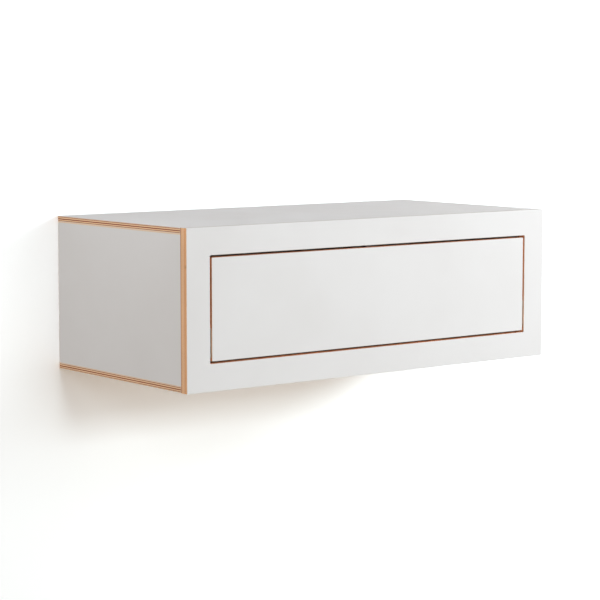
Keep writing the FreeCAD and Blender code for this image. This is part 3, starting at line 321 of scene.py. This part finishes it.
dowelWood = {
    "pale": rgb(222, 184, 140),
    "brown": rgb(186, 140, 96),
    "fibres": (40.0, 900.0, 4.0),         # grained along the pegs, as the flecks are
    "flecks": (190.0, 770.0, 1.0),
    "fibreBrown": (0.0, 0.6),             # share of brown in the fibres
    "fleckBrown": (0.64, 0.72, 0.5),      # start, full and most
    "roughness": 0.55,
    "bump": (0.4, 0.08 * mm),
}


def dowels(node, grain):
    # beech with its small flecks, the grain along the pegs
    material, tree, shader = newMaterial("beech_" + node)
    place = objectPlace(tree)
    fibres = grained(tree, place, grain, *dowelWood["fibres"])
    flecks = grained(tree, place, grain, *dowelWood["flecks"])
    inFibres = vary(tree, fibres, *dowelWood["fibreBrown"])
    inFlecks = rise(tree, flecks, *dowelWood["fleckBrown"])
    wood = mixColour(tree, inFibres, dowelWood["pale"], dowelWood["brown"])
    wood = mixColour(tree, inFlecks, wood, dowelWood["brown"])
    feed(tree, shader.inputs["Base Color"], wood)
    shader.inputs["Roughness"].default_value = dowelWood["roughness"]
    feed(tree, shader.inputs["Normal"], bump(tree, fibres, *dowelWood["bump"]))
    finish(node, material)


dowels("case_dowels", "z")
dowels("frame_dowels", "y")
dowels("cleat_dowels", "x")
print("dowels finished")


# metal fittings

def newMetal(name):
    material, tree, shader = newMaterial(name)
    shader.inputs["Metallic"].default_value = 1.0
    return material, tree, shader


plate = {                                 # nickel plate on hinges and stays
    "bright": rgb(205, 201, 193),
    "dull": rgb(172, 168, 160),
    "clouds": (60.0, 3.0),
    "dullShare": (0.35, 0.7, 0.7),        # start, full and most
    "strokes": (30.0, 1400.0, 3.0, 0.7),  # grained along the brushing
    "roughness": 0.3,
    "cloudShine": (0.0, 0.12),
    "strokeShine": (-0.04, 0.08),
    "bump": (0.35, 0.03 * mm),
}


def brushedPlate(node, grain):
    # nickel-plated steel, brushed along one axis, with a few dull clouds
    material, tree, shader = newMetal("nickel_plate_" + node)
    place = objectPlace(tree)
    strokes = grained(tree, place, grain, *plate["strokes"])
    clouds = noise(tree, place, *plate["clouds"])
    tone = mixColour(tree, rise(tree, clouds, *plate["dullShare"]), plate["bright"], plate["dull"])
    feed(tree, shader.inputs["Base Color"], tone)
    fromClouds = vary(tree, clouds, *plate["cloudShine"])
    fromStrokes = vary(tree, strokes, *plate["strokeShine"])
    rough = calc(tree, "ADD", calc(tree, "ADD", fromClouds, fromStrokes), plate["roughness"])
    feed(tree, shader.inputs["Roughness"], rough)
    feed(tree, shader.inputs["Normal"], bump(tree, strokes, *plate["bump"]))
    finish(node, material)


zinc = {                                  # bright zinc on the screws
    "bright": rgb(202, 205, 210),
    "blue": rgb(176, 184, 198),
    "cast": 90.0,
    "marks": (1300.0, 3.0),
    "roughness": (0.21, 0.41),
    "bump": (0.2, 0.02 * mm),
}


def zincScrews(node):
    # bright zinc with a faint blue cast and the tumbling marks of loose screws
    material, tree, shader = newMetal("zinc_" + node)
    place = objectPlace(tree)
    cast = noise(tree, place, zinc["cast"])
    marks = noise(tree, place, *zinc["marks"])
    tone = mixColour(tree, vary(tree, cast, 0.0, 1.0), zinc["bright"], zinc["blue"])
    feed(tree, shader.inputs["Base Color"], tone)
    feed(tree, shader.inputs["Roughness"], vary(tree, marks, *zinc["roughness"]))
    feed(tree, shader.inputs["Normal"], bump(tree, marks, *zinc["bump"]))
    finish(node, material)


for side in ("left", "right"):
    for part, grain in (("hinge_frame_leaf", "z"), ("hinge_flap_leaf", "z"), ("hinge_pin", "x"),
                        ("stay_bracket", "z"), ("flap_bracket", "z"), ("stay_arm", "y"), ("stay_stud", "x"),
                        ("stay_rivet", "x"), ("stay_spacer", "x"), ("stay_lock_nut", "x")):
        brushedPlate(side + "_" + part, grain)
brushedPlate("strike_plate", "x")
for node in ("cleat_screws", "hinge_frame_screws", "hinge_flap_screws", "stay_bracket_screws",
             "flap_bracket_screws", "latch_screws", "strike_screw"):
    zincScrews(node)

wire = {
    "bright": rgb(168, 166, 162),
    "oiled": rgb(120, 116, 110),
    "film": (400.0, 3.0),
    "roughness": (0.22, 0.4),
}


def drawnWire(node):
    # spring wire, drawn and lightly oiled
    material, tree, shader = newMetal("spring_wire")
    film = noise(tree, objectPlace(tree), *wire["film"])
    tone = mixColour(tree, vary(tree, film, 0.0, 1.0), wire["bright"], wire["oiled"])
    feed(tree, shader.inputs["Base Color"], tone)
    feed(tree, shader.inputs["Roughness"], vary(tree, film, *wire["roughness"]))
    finish(node, material)


magnet = {
    "bright": rgb(190, 186, 178),
    "worn": rgb(150, 146, 140),
    "scuffs": (120.0, 700.0, 3.0),        # grained along the slide
    "wornShare": (0.4, 0.75, 0.8),        # start, full and most
    "roughness": (0.16, 0.36),
}


def magnetFace(node):
    # nickel-plated magnet, scuffed where it rides in the plunger
    material, tree, shader = newMetal("nickel_magnet")
    scuffs = grained(tree, objectPlace(tree), "y", *magnet["scuffs"])
    tone = mixColour(tree, rise(tree, scuffs, *magnet["wornShare"]), magnet["bright"], magnet["worn"])
    feed(tree, shader.inputs["Base Color"], tone)
    feed(tree, shader.inputs["Roughness"], vary(tree, scuffs, *magnet["roughness"]))
    finish(node, material)


drawnWire("latch_spring")
magnetFace("latch_magnet")
print("metal finished")


# plastic and felt

moulding = {
    "grey": rgb(138, 140, 143),
    "pale": rgb(150, 152, 155),
    "flow": 30.0,
    "sparkSize": 0.5 * mm,                # the pits that the mould leaves, then their detail and roughness
    "sparkKind": (3.0, 0.6),
    "roughness": (0.45, 0.58),
    "bump": (0.3, 0.04 * mm),
}


def greyMoulding(node):
    # moulded grey plastic with a spark-eroded skin
    material, tree, shader = newMaterial("grey_plastic_" + node)
    place = objectPlace(tree)
    spark = noise(tree, place, 1 / moulding["sparkSize"], *moulding["sparkKind"])
    flow = noise(tree, place, moulding["flow"])
    feed(tree, shader.inputs["Base Color"], mixColour(tree, flow, moulding["grey"], moulding["pale"]))
    feed(tree, shader.inputs["Roughness"], vary(tree, spark, *moulding["roughness"]))
    feed(tree, shader.inputs["Normal"], bump(tree, spark, *moulding["bump"]))
    finish(node, material)


nylon = {
    "clear": rgb(233, 230, 222),
    "hazy": rgb(222, 217, 206),
    "haze": 260.0,
    "roughness": (0.42, 0.52),
    "lightShare": 0.15,                   # how much of the light goes in, and how far
    "lightReach": 1.0 * mm,
}


def nylonWashers(node):
    # cloudy nylon that lets a little light in
    material, tree, shader = newMaterial("nylon_" + node)
    haze = noise(tree, objectPlace(tree), nylon["haze"])
    feed(tree, shader.inputs["Base Color"], mixColour(tree, haze, nylon["clear"], nylon["hazy"]))
    feed(tree, shader.inputs["Roughness"], vary(tree, haze, *nylon["roughness"]))
    shader.inputs["Subsurface Weight"].default_value = nylon["lightShare"]
    shader.inputs["Subsurface Scale"].default_value = nylon["lightReach"]
    finish(node, material)


felt = {
    "grey": rgb(86, 86, 90),
    "pale": rgb(128, 128, 132),
    "fibres": (500.0, 1800.0, 5.0, 0.7),  # grained upwards
    "tufts": (420.0, 3.0),
    "roughness": 0.95,
    "sheen": 0.5,
    "sheenRoughness": 0.6,
    "bump": (0.8, 0.15 * mm),
}


def feltPad(node):
    # pressed grey felt
    material, tree, shader = newMaterial("felt")
    place = objectPlace(tree)
    fibres = grained(tree, place, "z", *felt["fibres"])
    tufts = noise(tree, place, *felt["tufts"])
    tone = mixColour(tree, vary(tree, fibres, 0.0, 1.0), felt["grey"], felt["pale"])
    feed(tree, shader.inputs["Base Color"], tone)
    shader.inputs["Roughness"].default_value = felt["roughness"]
    shader.inputs["Sheen Weight"].default_value = felt["sheen"]
    shader.inputs["Sheen Roughness"].default_value = felt["sheenRoughness"]
    feed(tree, shader.inputs["Normal"], bump(tree, calc(tree, "ADD", fibres, tufts), *felt["bump"]))
    finish(node, material)


greyMoulding("latch_housing")
greyMoulding("latch_plunger")
for node in ("left_hinge_washer", "right_hinge_washer", "stay_washers", "rivet_washers"):
    nylonWashers(node)
feltPad("latch_buffer")
print("plastic and felt finished")


# the room: one wall that the desk hangs on, and the floor under it

room = {
    "wallGap": 0.5 * mm,                     # the wall stands this far behind the cleat
    "reach": 2.4,                            # how far wall and floor run sideways, upwards and forwards
    "floorDrop": 0.9,                        # floor below the screw row
    "wallPaint": (1.38, 1.505, 1.515, 1.0),  # over one, so that the lit wall is plain white
    "wallGlow": (0.062, 0.0, 0.0, 1.0),      # a trace of warmth that is left in the shadow
    "floorPaint": (0.6, 0.6, 0.6, 1.0),
    "floorGlow": (0.62, 0.62, 0.62, 1.0),    # keeps the floor pale far from the lamps
    "mirrored": (1.0, 1.0, 1.0, 1.0),        # wall and floor as the desk's gloss shows them
}


def roomPlane(name, corners, paint, glowColour):
    # seen from its front only, so that the desk's back can be looked at too
    mesh = bpy.data.meshes.new(name)
    mesh.from_pydata(corners, [], [(0, 1, 2, 3)])
    plane = bpy.data.objects.new(name, mesh)
    bpy.context.scene.collection.objects.link(plane)
    plane.visible_diffuse = False
    plane.visible_shadow = False
    material = bpy.data.materials.new(name)
    material.use_nodes = True
    tree = material.node_tree
    tree.nodes.clear()
    seenDirectly = addNode(tree, "LightPath").outputs["Is Camera Ray"]
    coat = mixColour(tree, seenDirectly, room["mirrored"], paint)
    matt = addNode(tree, "BsdfDiffuse", {"Color": coat})
    glow = addNode(tree, "Emission", {"Color": glowColour, "Strength": seenDirectly})
    lit = addNode(tree, "AddShader", {0: matt.outputs[0], 1: glow.outputs[0]})
    clear = addNode(tree, "BsdfTransparent")
    behind = addNode(tree, "NewGeometry").outputs["Backfacing"]
    seen = addNode(tree, "MixShader", {0: behind, 1: lit.outputs[0], 2: clear.outputs[0]})
    addNode(tree, "OutputMaterial", {0: seen.outputs[0]})
    mesh.materials.append(material)


reach = room["reach"]
back = room["wallGap"]
base = -room["floorDrop"]
roomPlane("wall", [(-reach, back, base), (reach, back, base), (reach, back, reach),
                   (-reach, back, reach)], room["wallPaint"], room["wallGlow"])
roomPlane("floor", [(-reach, -reach, base), (reach, -reach, base), (reach, back, base),
                    (-reach, back, base)], room["floorPaint"], room["floorGlow"])


# soft light from six sides, warmest from the floor: axis, sign, and colour times strength
softLight = {
    "right": ("X", 1.0, (0.088, 0.086, 0.076)),
    "left": ("X", -1.0, (0.085, 0.085, 0.085)),
    "behind": ("Y", 1.0, (0.443, 0.388, 0.377)),
    "front": ("Y", -1.0, (0.117, 0.119, 0.119)),
    "above": ("Z", 1.0, (0.136, 0.121, 0.1)),
    "below": ("Z", -1.0, (0.44, 0.36, 0.25)),
}
skyWhite = (1.0, 1.0, 1.0, 1.0)           # the sky where it is looked at or mirrored


def studioWorld():
    world = bpy.data.worlds.new("studio")
    bpy.context.scene.world = world
    world.use_nodes = True
    tree = world.node_tree
    tree.nodes.clear()
    direction = split(tree, addNode(tree, "TexCoord").outputs["Generated"])
    total = (0.0, 0.0, 0.0)
    for axis, sign, colour in softLight.values():
        facing = calc(tree, "MAXIMUM", calc(tree, "MULTIPLY", direction[axis], sign), 0.0)
        added = addNode(tree, "VectorMath", {0: facing, 1: colour, 2: total}, operation="MULTIPLY_ADD")
        total = added.outputs[0]
    soft = addNode(tree, "Background", {"Color": total, "Strength": 1.0})
    white = addNode(tree, "Background", {"Color": skyWhite, "Strength": 1.0})
    rays = addNode(tree, "LightPath").outputs
    mirrored = calc(tree, "MAXIMUM", rays["Is Glossy Ray"], rays["Is Transmission Ray"])
    plain = calc(tree, "MAXIMUM", rays["Is Camera Ray"], mirrored)
    mixed = addNode(tree, "MixShader", {0: plain, 1: soft.outputs[0], 2: white.outputs[0]})
    addNode(tree, "OutputWorld", {0: mixed.outputs[0]})


# the lamps share their aim and colour. Bearing in degrees from the front to the right, height in
# degrees, distance and size in metres, power in watts
lampAim = Vector((0.0, -0.3, -0.05))
lampColour = (0.962, 1.0, 1.042)
lamps = {
    "right_near": {"bearing": 45.0, "height": 14.0, "distance": 2.0, "size": 0.7, "power": 12.7},
    "right_far": {"bearing": 80.0, "height": 24.0, "distance": 3.0, "size": 1.0, "power": 45.7},
    "front_large": {"bearing": 0.0, "height": 8.0, "distance": 3.0, "size": 1.0, "power": 21.9},
    "front_small": {"bearing": -8.0, "height": 14.0, "distance": 4.0, "size": 0.6, "power": 22.7},
    "left_near": {"bearing": -90.0, "height": 24.0, "distance": 2.0, "size": 0.7, "power": 10.6},
}


def softBox(name, lamp):
    bearing = math.radians(lamp["bearing"])
    height = math.radians(lamp["height"])
    level = math.cos(height)
    away = Vector((math.sin(bearing) * level, -math.cos(bearing) * level, math.sin(height)))
    light = bpy.data.lights.new(name, "AREA")
    light.shape = "SQUARE"
    light.size = lamp["size"]
    light.energy = lamp["power"]
    light.color = lampColour
    holder = bpy.data.objects.new(name, light)
    bpy.context.scene.collection.objects.link(holder)
    holder.location = lampAim + away * lamp["distance"]
    holder.rotation_euler = (-away).to_track_quat("-Z", "Y").to_euler()


studioWorld()
for name, lamp in lamps.items():
    softBox(name, lamp)
print("room and light ready")


# camera

camera = {
    "place": (-2.358, -3.174, 0.3336),
    "turn": (83.9655, -0.023, -38.186),   # degrees about x, y and z
    "lens": 127.27,
    "near": 0.05,                         # nothing nearer or farther than these is seen
    "far": 50.0,
}
lensData = bpy.data.cameras.new("camera")
lensData.lens = camera["lens"]
lensData.clip_start = camera["near"]
lensData.clip_end = camera["far"]
cameraObject = bpy.data.objects.new("camera", lensData)
bpy.context.scene.collection.objects.link(cameraObject)
cameraObject.location = camera["place"]
cameraObject.rotation_euler = [math.radians(angle) for angle in camera["turn"]]
bpy.context.scene.camera = cameraObject
bpy.context.scene.view_settings.view_transform = "Standard"
print("camera placed")
